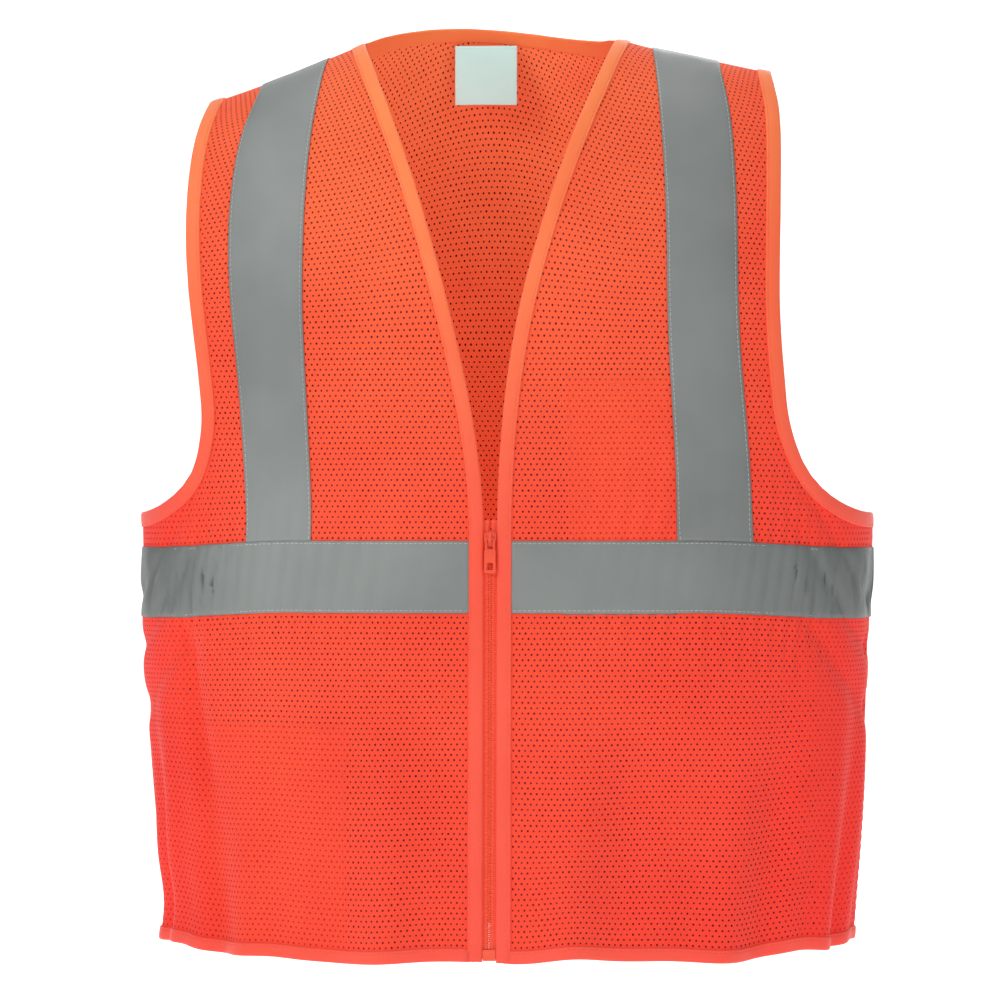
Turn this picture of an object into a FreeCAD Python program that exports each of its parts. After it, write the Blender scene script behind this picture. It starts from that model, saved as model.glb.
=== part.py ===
"""Zip-front mesh safety vest, size Large, as it hangs when worn. Millimetres, +Z up.

X runs to the wearer's left, Y to the wearer's back. The wearer faces -Y. The origin is on the
shoulder line beside the neck, in the middle of the vest, so all of the vest is below or near Z = 0.
Heights named *_h are measured up from the hem and are moved down by body_length when saved.
"""
import FreeCAD, Part
import math
import os

V = FreeCAD.Vector

# Whole vest
body_length = 657.0          # hem to the shoulder line beside the neck
chest_half = 270.0           # half width at the bottom of the armholes
hem_half = 249.0             # half width at the hem
ridge_half = 235.0           # half width of the surface at the shoulder line, before the armholes are cut
chest_h = 430.0              # height where the cloth starts to bend over the shoulders
front_depth_hem = 120.0      # wearer's middle to the front of the vest, at the hem
front_depth_chest = 98.0     # and at the chest
back_depth_hem = 112.0
back_depth_chest = 95.0
squareness = 0.12            # 0 is an ellipse, larger is a flatter front and back

# Shoulders, neck and armholes
shoulder_slope_left = 0.20   # drop per millimetre outward from the neck
shoulder_slope_right = 0.35
neck_half = 92.0             # half width of the neck opening on the shoulder line
nape_rise = 30.0             # how far the surface rises behind the neck, above the shoulder line
back_neck_rise = 13.0        # how far the edge of the back neck arches above the shoulder line
arm_half = 209.0             # half width between the armholes
arm_bottom_h = 318.0         # height of the armhole bottoms
arm_corner_width = 62.0      # the rounded front and back corners of each armhole
arm_corner_height = 75.0

# Cloth layers, as distances out from the inner face of the mesh
mesh_t = 1.0
tape_t = 0.5
bind_t = 0.6
pocket_t = 0.7
pocket_gap = 0.9

# Widths of strips
tape_width = 50.8
bind_width = 10.0
hem_width = 9.0
neck_band_width = 8.5
waist_tape_h = 244.0         # lower edge of the waist tape
shoulder_tape_x = 154.0      # middle of each shoulder tape at the chest
shoulder_tape_lean = 13.0    # how far it comes in by the shoulder line

# Zip
zip_h = 302.0                # top of the closed slider
zip_bottom_h = 2.0
zip_gap = 5.0                # zip middle to the edge of each front
zip_cloth_width = 15.0       # zip middle to the outer edge of each zip tape
zip_cloth_t = 0.7
neckline_power = 1.8         # how quickly the neckline spreads from the zip to the neck
tooth_pitch = 3.0
tooth_height = 1.15
tooth_head = 0.8             # zip middle to a tooth's head, so that the rigid rows can part
tooth_root = 3.0             # where a tooth ends and its tape starts
tooth_thick = 2.6
tooth_bevel = 0.3
stop_height = 4.0
stop_width = 1.6
tape_tail = 8.0              # zip tape above the slider
slider_length = 10.5
slider_width = 8.6
slider_plate_t = 1.2
slider_corner = 2.2
slider_taper = 1.6           # the foot's corners are this many times as long as they are wide
slider_gap = 0.75            # clearance between the slider and what it runs on
wedge_width = 0.9            # less than the space between the two rows of heads
wedge_height = 3.5
crown_width = 2.2            # the arch on the slider's front plate
crown_height = 7.0
crown_drop = 1.2             # top of the slider down to the top of the crown
crown_leg = 1.4
crown_roof_t = 1.0
pull_width = 8.0
pull_length = 24.0
pull_t = 1.5
pull_gap = 0.4
pull_neck = 7.0              # length of the wire loop above the flat tab
pull_corner = 1.6
pull_window = (4.4, 5.0)     # width and height
pull_rim = 2.4               # tab left below the window
loop_wire = 1.3
loop_inset = 0.6             # side of the tab to the outside of the loop
box_width = 9.0
box_height = 7.7
box_wall = 1.0
pin_width = 2.0
pin_fillet = 0.35
part_gap = 0.35              # clearance between pieces on different bodies

# Where each front folds open
fold_hem_x = 140.0           # the fold runs from beside the neck down to here at the hem
fold_gap = 1.8               # between a front and the cloth outside its fold, so that it swings clear

# Pockets inside the fronts
chest_pocket_x = (54.0, 127.0)
chest_pocket_top_h = 409.0
pocket_seam = 8.0
lower_pocket_x = -102.0      # inner seam of the lower pocket, which runs back to the side seam
lower_pocket_top_h = 164.0
patch_size = (7.0, 18.0)

# Neck label
label_size = (46.0, 44.0)
label_t = 0.5
label_x = -11.0
label_drop = 0.5             # top of the label below the edge of the back neck
label_gap = 1.8              # label to the folded neck band that it hangs from

# Margins that only need to be larger than the vest
below_hem = 8.0
beyond = 400.0
above_neck = 90.0
sliver = 0.5                 # volume of the scraps that a cut may leave, which are thrown away
columns = 19                 # points across each half of the surface
flank_rows = 8               # points from the hem to the chest
shoulder_rows = 9            # points from the chest to the shoulder line


def mix(a, b, share):
    return a + (b - a) * share


def ridge_height(x):
    """Height of the shoulder line at x, without the armholes and neck opening."""
    r = max(-1.0, min(1.0, x / neck_half))
    mean = (shoulder_slope_left + shoulder_slope_right) / 2
    slope = mean + r * (shoulder_slope_left - shoulder_slope_right) / 2
    inside = slope * neck_half * (1 - r * r) / 2 + nape_rise * (1 - r * r) ** 2
    outside = slope * max(0.0, abs(x) - neck_half)
    return body_length + inside - outside


def surface_point(side, turn, rise):
    """Point of the cloth's inner face. side is -1 for front, 1 for back; turn is 0 at the left
    side seam and pi at the right one; rise is 0 at the hem, 1 at the chest, 2 at the shoulder line."""
    across = math.cos(turn) * (1 + squareness * math.sin(turn) ** 2)
    deep = math.sin(turn) * (1 + squareness * math.cos(turn) ** 2)
    hem, chest = (front_depth_hem, front_depth_chest) if side < 0 else (back_depth_hem, back_depth_chest)
    if rise <= 1:
        half = mix(hem_half, chest_half, math.sin(rise * math.pi / 2))
        return V(half * across, side * mix(hem, chest, rise) * deep, rise * chest_h)
    angle = (rise - 1) * math.pi / 2
    half = mix(ridge_half, chest_half, math.cos(angle))
    top = ridge_height(ridge_half * across)
    height = mix(chest_h, top, math.sin(angle))
    return V(half * across, side * chest * deep * math.cos(angle), height)


def surface_normal(side, turn, rise):
    """Unit vector out of the cloth."""
    e = 1e-3
    along = surface_point(side, turn + e, rise) - surface_point(side, turn - e, rise)
    low, high = (rise - e, rise) if rise > 1.999 else (rise - e, rise + e)
    up = surface_point(side, turn, high) - surface_point(side, turn, low)
    n = along.cross(up) * side
    if n.Length < 1e-9:
        n = V(math.cos(turn), 0, 1)
    n.normalize()
    return n


def half_torso(side, offset):
    """Solid between the middle plane and the front or back surface, moved out by offset."""
    rises = [-below_hem / chest_h]
    rises += [i / (flank_rows - 1) for i in range(flank_rows)]
    rises += [1 + (i + 1) / shoulder_rows for i in range(shoulder_rows)]
    grid = []
    for rise in rises:
        row = []
        for i in range(columns):
            turn = math.pi * i / (columns - 1)
            p = surface_point(side, turn, rise) + surface_normal(side, turn, rise) * offset
            if i in (0, columns - 1) or rise > 1.999:
                p.y = 0
            if rise < 0:
                p.z = -below_hem
            row.append(p)
        grid.append(row)
    surface = Part.BSplineSurface()
    surface.interpolate(grid)
    skin = surface.toShape()
    bottom = min(skin.Edges, key=lambda e: e.BoundBox.ZMax)
    rest = [e for e in skin.Edges if not e.isSame(bottom)]
    ends = [v.Point for v in bottom.Vertexes]
    base_line = Part.makeLine(ends[0], ends[1])
    flat = Part.makeFace(Part.Wire(Part.__sortEdges__(rest + [base_line])), "Part::FaceMakerSimple")
    floor = Part.makeFace(Part.Wire(Part.__sortEdges__([bottom, base_line])), "Part::FaceMakerSimple")
    shell = Part.makeShell([skin, flat, floor])
    shell.sewShape()
    solid = Part.makeSolid(shell)
    if solid.Volume < 0:
        solid.reverse()
    return solid


torsos = {}
layers = {}


def layer(side, low, high):
    """The front or back between two distances from the inner face of the mesh."""
    for offset in (low, high):
        if (side, offset) not in torsos:
            torsos[side, offset] = half_torso(side, offset)
    if (side, low, high) not in layers:
        layers[side, low, high] = torsos[side, high].cut(torsos[side, low])
    return layers[side, low, high]


# Outlines in the X-Z plane, seen from the front

def prism(wire, side):
    """Solid through the front (side -1) or back (side 1) under a closed outline at Y = 0."""
    return Part.Face(wire).extrude(V(0, side * beyond, 0))


def rectangle(x1, x2, h1, h2):
    return Part.makePolygon([V(x1, 0, h1), V(x2, 0, h1), V(x2, 0, h2), V(x1, 0, h2), V(x1, 0, h1)])


def block(side, x1, x2, h1, h2):
    return prism(rectangle(x1, x2, h1, h2), side)


def neckline_x(h):
    """Half width of the opening between the fronts at a height."""
    share = max(0.0, (h - zip_h) / (body_length - zip_h))
    return zip_gap + (neck_half - zip_gap) * share ** neckline_power


def opening(inset):
    """The space between the fronts, from below the hem to above the neck, grown by inset."""
    steps = 12
    side = []
    for i in range(steps + 1):
        h = mix(zip_h, body_length + above_neck, i / steps)
        slope = neckline_x(h + 1) - neckline_x(h)
        long = math.hypot(1, slope)
        side.append(V(neckline_x(h) + inset / long, 0, h - inset * slope / long))
    curve = Part.BSplineCurve()
    curve.interpolate(side)
    edges = [curve.toShape(), Part.makeLine(side[0], V(side[0].x, 0, -beyond))]
    mirrored = [e.mirror(V(0, 0, 0), V(1, 0, 0)) for e in edges]
    top = side[-1]
    foot = V(side[0].x, 0, -beyond)
    edges.append(Part.makeLine(top, V(-top.x, 0, top.z)))
    edges.append(Part.makeLine(foot, V(-foot.x, 0, foot.z)))
    return Part.Wire(Part.__sortEdges__(edges + mirrored))


def arm_cut(hand, inset):
    """Outline of an armhole, open past the shoulder and the side seam, grown by inset."""
    x = arm_half - inset
    foot = arm_bottom_h - inset
    wide, tall = arm_corner_width + inset, arm_corner_height + inset
    middle = V(arm_half + arm_corner_width, 0, arm_bottom_h + arm_corner_height)
    corner = Part.BSplineCurve()
    start = V(x, 0, middle.z)
    end = V(middle.x, 0, foot)
    turns = [math.pi / 2 * i / 6 for i in range(7)]
    arc = [V(middle.x - wide * math.cos(t), 0, middle.z - tall * math.sin(t)) for t in turns]
    corner.interpolate(Points=arc, InitialTangent=V(0, 0, -1), FinalTangent=V(1, 0, 0))
    far = middle.x + beyond
    top = body_length + beyond
    edges = [
        Part.makeLine(V(x, 0, top), start),
        corner.toShape(),
        Part.makeLine(end, V(far, 0, foot)),
        Part.makeLine(V(far, 0, foot), V(far, 0, top)),
        Part.makeLine(V(far, 0, top), V(x, 0, top)),
    ]
    if hand < 0:
        edges = [e.mirror(V(0, 0, 0), V(1, 0, 0)) for e in edges]
    return Part.Wire(Part.__sortEdges__(edges))


def back_neck(inset):
    """Outline above the edge of the back neck, lowered by inset."""
    ends = neck_half + inset
    top = body_length + beyond
    left = V(-ends, 0, body_length - inset)
    right = V(ends, 0, body_length - inset)
    arch = Part.Arc(left, V(0, 0, body_length + back_neck_rise - inset), right).toShape()
    edges = [
        arch,
        Part.makeLine(right, V(ends, 0, top)),
        Part.makeLine(V(ends, 0, top), V(-ends, 0, top)),
        Part.makeLine(V(-ends, 0, top), left),
    ]
    return Part.Wire(Part.__sortEdges__(edges))


def fold_side(hand, side, outside=True):
    """The space outside the fold of one front, or the space inside it, which ends a gap short of it."""
    far = hand * (chest_half + beyond) if outside else -hand * beyond
    start = fold_hem_x if outside else fold_hem_x - fold_gap
    slope = (fold_hem_x - neck_half) / body_length
    low = -below_hem
    high = body_length + beyond
    x_low = hand * (start - slope * low)
    x_high = hand * (start - slope * high)
    points = [V(x_low, 0, low), V(far, 0, low), V(far, 0, high), V(x_high, 0, high), V(x_low, 0, low)]
    return prism(Part.makePolygon(points), side)


def arm_spaces(side, inset):
    return [prism(arm_cut(1, inset), side), prism(arm_cut(-1, inset), side)]


def cut_all(shape, tools):
    for tool in tools:
        shape = shape.cut(tool)
    return shape


def solids_only(shape):
    return Part.makeCompound([s for s in shape.Solids if s.Volume > sliver])


def save(node, *shapes):
    """Write one node, moved so that the shoulder line beside the neck is at Z = 0."""
    solids = [s for shape in shapes for s in shape.Solids]
    group = solids[0] if len(solids) == 1 else Part.makeCompound(solids)
    moved = group.copy()
    moved.translate(V(0, 0, -body_length))
    moved.exportStep(os.path.join("parts", node + ".step"))
    print(node, len(solids), "solids", round(sum(s.Volume for s in solids), 1), "valid", group.isValid())


# Cloth

def back_panel():
    cloth = layer(1, 0, mesh_t)
    cloth = cloth.common(block(1, -beyond, beyond, hem_width, beyond * 2))
    return solids_only(cut_all(cloth, arm_spaces(1, bind_width) + [prism(back_neck(neck_band_width), 1)]))


def front_half(hand):
    x1, x2 = (0, beyond) if hand > 0 else (-beyond, 0)
    cloth = layer(-1, 0, mesh_t).common(block(-1, x1, x2, hem_width, beyond * 2))
    tools = [prism(opening(bind_width), -1), prism(arm_cut(hand, bind_width), -1)]
    return cut_all(cloth, tools)


def inside_fold(shape, hand):
    return solids_only(shape.common(fold_side(hand, -1, outside=False)))


def outside_fold(shape, hand):
    return solids_only(shape.common(fold_side(hand, -1)))


def front_panel(hand):
    return inside_fold(front_half(hand), hand)


def front_panel_side(hand):
    """What the space inside the fold leaves when it is moved out by the gap, above the neck too."""
    inside = fold_side(hand, -1, outside=False)
    inside.translate(V(hand * fold_gap, 0, 0))
    return solids_only(front_half(hand).cut(inside))


def edge_layer(side):
    return layer(side, -bind_t, mesh_t + bind_t)


def front_binding(hand):
    """Folded strip along one front edge, from the neck down past the zip to the hem."""
    x1, x2 = (0, beyond) if hand > 0 else (-beyond, 0)
    strip = edge_layer(-1).common(prism(opening(bind_width), -1)).common(block(-1, x1, x2, 0, beyond * 2))
    return solids_only(strip.cut(prism(opening(0), -1)))


def armhole_binding(hand):
    """Folded strip round one armhole, front and back in one piece."""
    halves = []
    for side in (-1, 1):
        strip = edge_layer(side).common(prism(arm_cut(hand, bind_width), side))
        halves.append(strip.cut(prism(arm_cut(hand, 0), side)))
    return solids_only(halves[0].fuse(halves[1]))


def hem_strip(side, x1, x2):
    return edge_layer(side).common(block(side, x1, x2, 0, hem_width))


def front_hem(hand):
    x1, x2 = (0, beyond) if hand > 0 else (-beyond, 0)
    strip = hem_strip(-1, x1, x2).cut(prism(opening(bind_width), -1))
    return inside_fold(strip, hand)


def hem_binding():
    """Folded strip round the back and the sides, as far as the fold of each front."""
    strips = [hem_strip(1, -beyond, beyond)]
    for hand in (-1, 1):
        x1, x2 = (0, beyond) if hand > 0 else (-beyond, 0)
        strips.append(outside_fold(hem_strip(-1, x1, x2), hand))
    return solids_only(strips[0].fuse(strips[1:]))


def back_neck_binding():
    strip = edge_layer(1).common(prism(back_neck(neck_band_width), 1)).cut(prism(back_neck(0), 1))
    reach = neck_half + neck_band_width
    return solids_only(strip.common(block(1, -reach, reach, 0, beyond * 2)))


def on_mesh(side):
    return layer(side, mesh_t, mesh_t + tape_t)


def waist_strip(side, x1, x2):
    return on_mesh(side).common(block(side, x1, x2, waist_tape_h, waist_tape_h + tape_width))


def waist_tape(hand):
    x1, x2 = (0, beyond) if hand > 0 else (-beyond, 0)
    strip = waist_strip(-1, x1, x2).cut(prism(opening(bind_width), -1))
    return inside_fold(strip, hand)


def waist_tape_side(hand):
    x1, x2 = (0, beyond) if hand > 0 else (-beyond, 0)
    return outside_fold(waist_strip(-1, x1, x2), hand)


def tape_middle(h):
    share = max(0.0, (h - chest_h) / (body_length - chest_h))
    return shoulder_tape_x - shoulder_tape_lean * share ** 3


def shoulder_outline(hand):
    """Outline of one shoulder tape, from the waist tape to above the shoulder."""
    foot = waist_tape_h + tape_width
    heights = [mix(chest_h, body_length + nape_rise, i / 5) for i in range(6)]
    edges = []
    for edge in (-1, 1):
        shift = edge * tape_width / 2
        points = [V(hand * (tape_middle(h) + shift), 0, h) for h in heights]
        curve = Part.BSplineCurve()
        curve.interpolate(Points=points, InitialTangent=V(0, 0, 1), FinalTangent=points[-1] - points[-2])
        edges.append(curve.toShape())
        edges.append(Part.makeLine(V(points[0].x, 0, foot), points[0]))
    x1 = hand * (tape_middle(foot) - tape_width / 2)
    x2 = hand * (tape_middle(foot) + tape_width / 2)
    edges.append(Part.makeLine(V(x1, 0, foot), V(x2, 0, foot)))
    top = heights[-1]
    x1 = hand * (tape_middle(top) - tape_width / 2)
    x2 = hand * (tape_middle(top) + tape_width / 2)
    edges.append(Part.makeLine(V(x1, 0, top), V(x2, 0, top)))
    return Part.Wire(Part.__sortEdges__(edges))


def shoulder_tape(hand):
    """Tape from the front of the waist, over the shoulder, to the back of the waist."""
    halves = [on_mesh(side).common(prism(shoulder_outline(hand), side)) for side in (-1, 1)]
    return solids_only(halves[0].fuse(halves[1]))


# Pockets, inside the fronts

def pocket(x1, x2, h1, h2, open_top):
    """A patch sewn to the inside of the mesh round its edges, open where it is not sewn."""
    deep = pocket_t + pocket_gap
    body = layer(-1, -deep, 0).common(block(-1, x1, x2, h1, h2))
    top = h2 + 1 if open_top else h2 - pocket_seam
    window = block(-1, x1 + pocket_seam, x2 - pocket_seam, h1 + pocket_seam, top)
    return solids_only(body.cut(layer(-1, -pocket_gap, 0).common(window)))


def chest_pocket():
    return pocket(chest_pocket_x[0], chest_pocket_x[1], waist_tape_h + tape_width, chest_pocket_top_h, True)


def whole_lower_pocket():
    """A wide patch from its inner seam to the side seam, sewn into the hem, open at the top."""
    deep = pocket_t + pocket_gap
    body = layer(-1, -deep, 0).common(block(-1, -beyond, lower_pocket_x, hem_width, lower_pocket_top_h))
    x1, x2 = pocket_seam - chest_half, lower_pocket_x - pocket_seam
    space = layer(-1, -pocket_gap, 0).common(block(-1, x1, x2, hem_width * 2, beyond))
    return body.cut(space)


def lower_pocket():
    return inside_fold(whole_lower_pocket(), -1)


def lower_pocket_side():
    return outside_fold(whole_lower_pocket(), -1)


def pocket_reinforcement():
    """A small patch on the inner pocket wall, at the top of its inner seam."""
    deep = pocket_t + pocket_gap
    x = lower_pocket_x
    h = lower_pocket_top_h
    patch = block(-1, x - patch_size[0], x, h - patch_size[1], h)
    return solids_only(layer(-1, -deep - pocket_t, -deep).common(patch))


# Zip. Its middle line is straight, from zip_bottom_h to zip_h, and leans with the front.

zip_lean = math.atan2(front_depth_hem - front_depth_chest, chest_h)
zip_plane = -(bind_t + zip_cloth_t / 2)   # middle of the zip's own tapes, as a distance out from the mesh


def on_zip(shape):
    """Move a piece from zip axes to the vest. In zip axes X is across, Y is into the wearer, Z is up
    along the teeth from the hem, and Y = 0 is the middle of the zip's tapes."""
    moved = shape.copy()
    moved.rotate(V(0, 0, 0), V(1, 0, 0), -math.degrees(zip_lean))
    moved.translate(V(0, -front_depth_hem - zip_plane * math.cos(zip_lean), 0))
    return moved


def box(x1, x2, y1, y2, z1, z2):
    return Part.makeBox(x2 - x1, y2 - y1, z2 - z1, V(x1, y1, z1))


def zip_tape(hand):
    """Woven strip behind one front edge, which carries the teeth."""
    x1, x2 = (tooth_root, zip_cloth_width) if hand > 0 else (-zip_cloth_width, -tooth_root)
    behind = layer(-1, -bind_t - zip_cloth_t, -bind_t)
    return solids_only(behind.common(block(-1, x1, x2, zip_bottom_h, zip_h + tape_tail)))


def one_tooth(hand):
    """A moulded tooth: a root on the tape and a head with bevelled corners."""
    half = tooth_height / 2
    thick = tooth_thick / 2
    outline = [
        V(tooth_head, tooth_bevel - thick, 0),
        V(tooth_head + tooth_bevel, -thick, 0),
        V(tooth_root, -thick, 0),
        V(tooth_root, thick, 0),
        V(tooth_head + tooth_bevel, thick, 0),
        V(tooth_head, thick - tooth_bevel, 0),
    ]
    tooth = Part.Face(Part.makePolygon(outline + [outline[0]])).extrude(V(0, 0, tooth_height))
    tooth.translate(V(0, 0, -half))
    return tooth if hand > 0 else tooth.mirror(V(0, 0, 0), V(1, 0, 0))


def teeth_heights(hand):
    """Places of one side's teeth. The two sides take turns."""
    first = zip_bottom_h + box_height + part_gap + tooth_height + (tooth_pitch / 2 if hand > 0 else 0)
    last = zip_h - slider_length / 2
    count = int((last - first) / tooth_pitch) + 1
    return [first + i * tooth_pitch for i in range(count)]


def zip_teeth(hand):
    tooth = one_tooth(hand)
    row = []
    for h in teeth_heights(hand):
        copy = tooth.copy()
        copy.translate(V(0, 0, h))
        row.append(on_zip(copy))
    return Part.makeCompound(row)


def top_stop(hand):
    """Last tooth of one side, above the slider."""
    z = zip_h + part_gap
    x1, x2 = (tooth_root - stop_width, tooth_root) if hand > 0 else (-tooth_root, stop_width - tooth_root)
    return on_zip(box(x1, x2, -tooth_thick / 2, tooth_thick / 2, z, z + stop_height))


def slider_half_gap():
    return tooth_thick / 2 + slider_gap


def slider_outline():
    """The slider's plates seen from the front, narrower at the foot."""
    low, high = zip_h - slider_length, zip_h
    half = slider_width / 2
    flat = half - slider_corner
    foot = low + slider_corner * slider_taper
    shoulder = high - slider_corner
    corners = [(-flat, low), (flat, low), (half, foot), (half, shoulder), (flat, high), (-flat, high)]
    corners += [(-half, shoulder), (-half, foot), (-flat, low)]
    return Part.makePolygon([V(x, 0, z) for x, z in corners])


def slider_body():
    """Two plates joined by a wedge between the rows, with a rolled edge round the left row only.
    The rows stay rigid, so the right row leaves the slider sideways."""
    inner = slider_half_gap()
    outer = inner + slider_plate_t
    low, high = zip_h - slider_length, zip_h
    half = slider_width / 2
    plate = Part.Face(slider_outline()).extrude(V(0, outer * 2, 0))
    plate.translate(V(0, -outer, 0))
    row = tooth_root + slider_gap
    channel = box(-half - 1, row, -inner, inner, low - 1, high + 1)
    slot_half = zip_cloth_t / 2 + slider_gap
    slot = box(0, half + 1, -slot_half, slot_half, low - 1, high + 1)
    wedge = box(-wedge_width / 2, wedge_width / 2, -inner, inner, high - wedge_height, high)
    shell = plate.cut(channel).cut(slot)
    return on_zip(shell.fuse([wedge, crown()]).removeSplitter())


def crown():
    """The arch on the front plate, which the pull tab hangs from."""
    outer = slider_half_gap() + slider_plate_t
    inner = outer + loop_wire + pull_gap * 2
    top = zip_h - crown_drop
    bottom = top - crown_height
    half = crown_width / 2
    roof = box(-half, half, -inner - crown_roof_t, -inner, bottom, top)
    lower_leg = box(-half, half, -inner, -outer, bottom, bottom + crown_leg)
    upper_leg = box(-half, half, -inner, -outer, top - crown_leg, top)
    return roof.fuse([lower_leg, upper_leg])


def pull_pivot():
    """Zip-axes Y and Z of the line that the pull tab turns about."""
    outer = slider_half_gap() + slider_plate_t
    y = -outer - pull_gap - loop_wire / 2
    z = zip_h - crown_drop - crown_height + crown_leg + pull_gap + loop_wire / 2
    return y, z


def pull_tab():
    """A wire-like loop through the crown, on a flat tab with a small window."""
    y, z = pull_pivot()
    half = pull_width / 2
    r = loop_wire / 2
    neck = z - pull_neck
    foot = z - pull_length
    reach = half - r - loop_inset
    bar = Part.makeCylinder(r, 2 * reach, V(-reach, y, z), V(1, 0, 0))
    arms = [box(x - r, x + r, y - r, y + r, neck, z) for x in (-reach, reach)]
    knuckles = [Part.makeSphere(r, V(x, y, z)) for x in (-reach, reach)]
    tab = box(-half, half, y - pull_t / 2, y + pull_t / 2, foot, neck)
    corners = [e for e in tab.Edges if abs(e.tangentAt(e.FirstParameter).y) > 0.9]
    tab = tab.makeFillet(pull_corner, corners)
    wide, tall = pull_window
    window = box(-wide / 2, wide / 2, y - pull_t, y + pull_t, foot + pull_rim, foot + pull_rim + tall)
    return on_zip(bar.fuse(arms + knuckles + [tab]).removeSplitter().cut(window))


def retainer_box():
    """Socket at the foot of the left row, open on the pin's side so that the pin can leave."""
    half = box_width / 2
    thick = tooth_thick / 2
    low, high = zip_bottom_h, zip_bottom_h + box_height
    body = box(-half, half, -thick - box_wall, thick + box_wall, low, high)
    room = thick + part_gap
    pin_space = box(-half - 1, pin_width / 2 + part_gap, -room, room, low + box_wall, high + 1)
    tape_half = zip_cloth_t / 2 + part_gap
    left_slot = box(tooth_root, half + 1, -tape_half, tape_half, low - 1, high + 1)
    right_slot = box(-half - 1, part_gap - tooth_root, -room, room, low - 1, high + 1)
    return on_zip(cut_all(body, [pin_space, left_slot, right_slot]))


def insertion_pin():
    """Pin at the foot of the right row, which slides into the socket to start the zip."""
    thick = tooth_thick / 2
    low = zip_bottom_h + box_wall + part_gap
    pin = box(-tooth_root, -tooth_root + pin_width, -thick, thick, low, zip_bottom_h + box_height)
    upright = [e for e in pin.Edges if abs(e.tangentAt(e.FirstParameter).z) > 0.9]
    return on_zip(pin.makeFillet(pin_fillet, upright))


def neck_label():
    """Sewn at its top edge just inside the back neck, and hanging straight down."""
    top = body_length + back_neck_rise - neck_band_width - label_drop
    x = label_x - label_size[0] / 2
    angle = math.asin(min(1.0, (top - chest_h) / (ridge_height(x) - chest_h)))
    y = back_depth_chest * math.cos(angle) - bind_t - label_gap - label_t
    return Part.makeBox(label_size[0], label_t, label_size[1], V(x, y, top - label_size[1]))


def build():
    os.makedirs("parts", exist_ok=True)
    save("back_panel", back_panel())
    save("back_neck_binding", back_neck_binding())
    save("hem_binding", hem_binding())
    save("back_waist_tape", solids_only(waist_strip(1, -beyond, beyond)))
    for hand, name in ((1, "left"), (-1, "right")):
        save(name + "_front_panel", front_panel(hand))
        save(name + "_front_panel_side", front_panel_side(hand))
        save(name + "_front_binding", front_binding(hand))
        save(name + "_front_hem", front_hem(hand))
        save(name + "_armhole_binding", armhole_binding(hand))
        save(name + "_waist_tape", waist_tape(hand))
        save(name + "_waist_tape_side", waist_tape_side(hand))
        save(name + "_shoulder_tape", shoulder_tape(hand))
        save(name + "_zip_tape", zip_tape(hand))
        save(name + "_zip_teeth", zip_teeth(hand))
        save(name + "_top_stop", top_stop(hand))
    save("chest_pocket", chest_pocket())
    save("lower_pocket", lower_pocket())
    save("lower_pocket_side", lower_pocket_side())
    save("pocket_reinforcement", pocket_reinforcement())
    save("zip_slider", slider_body())
    save("pull_tab", pull_tab())
    save("retainer_box", retainer_box())
    save("insertion_pin", insertion_pin())
    save("neck_label", neck_label())


build()
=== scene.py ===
"""Looks of the zip-front mesh safety vest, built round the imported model.

Lengths are metres. X runs to the wearer's left, Y to the back, Z up, and Z = 0 is the shoulder line
beside the neck. Heights called h are measured up from the hem, so z = h - BODY_LENGTH.
"""

import math

import bpy
import numpy as np
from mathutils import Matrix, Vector


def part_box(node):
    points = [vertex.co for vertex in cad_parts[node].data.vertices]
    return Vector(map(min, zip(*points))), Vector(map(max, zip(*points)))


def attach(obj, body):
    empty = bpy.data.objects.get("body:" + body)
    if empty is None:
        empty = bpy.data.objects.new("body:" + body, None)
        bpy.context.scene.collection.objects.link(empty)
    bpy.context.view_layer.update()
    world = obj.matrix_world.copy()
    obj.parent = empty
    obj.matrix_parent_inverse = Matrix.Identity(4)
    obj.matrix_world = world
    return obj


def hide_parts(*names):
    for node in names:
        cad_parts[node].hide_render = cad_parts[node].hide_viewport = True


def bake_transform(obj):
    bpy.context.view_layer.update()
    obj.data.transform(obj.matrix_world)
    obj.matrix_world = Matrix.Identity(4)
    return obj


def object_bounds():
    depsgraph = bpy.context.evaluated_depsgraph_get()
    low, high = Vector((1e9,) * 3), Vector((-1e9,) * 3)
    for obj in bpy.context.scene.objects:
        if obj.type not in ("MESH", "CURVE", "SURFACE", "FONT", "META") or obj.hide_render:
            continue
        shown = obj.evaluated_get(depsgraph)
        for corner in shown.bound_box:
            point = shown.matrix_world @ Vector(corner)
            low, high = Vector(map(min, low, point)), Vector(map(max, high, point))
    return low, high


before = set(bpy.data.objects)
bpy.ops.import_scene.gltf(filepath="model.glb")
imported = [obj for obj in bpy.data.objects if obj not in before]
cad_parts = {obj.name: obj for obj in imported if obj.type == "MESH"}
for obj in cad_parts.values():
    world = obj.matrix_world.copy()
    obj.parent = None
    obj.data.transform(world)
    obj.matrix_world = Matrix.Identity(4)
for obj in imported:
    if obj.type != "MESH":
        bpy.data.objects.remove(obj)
cad_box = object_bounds()

MM = 0.001
HALF_PI = math.pi / 2

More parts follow.
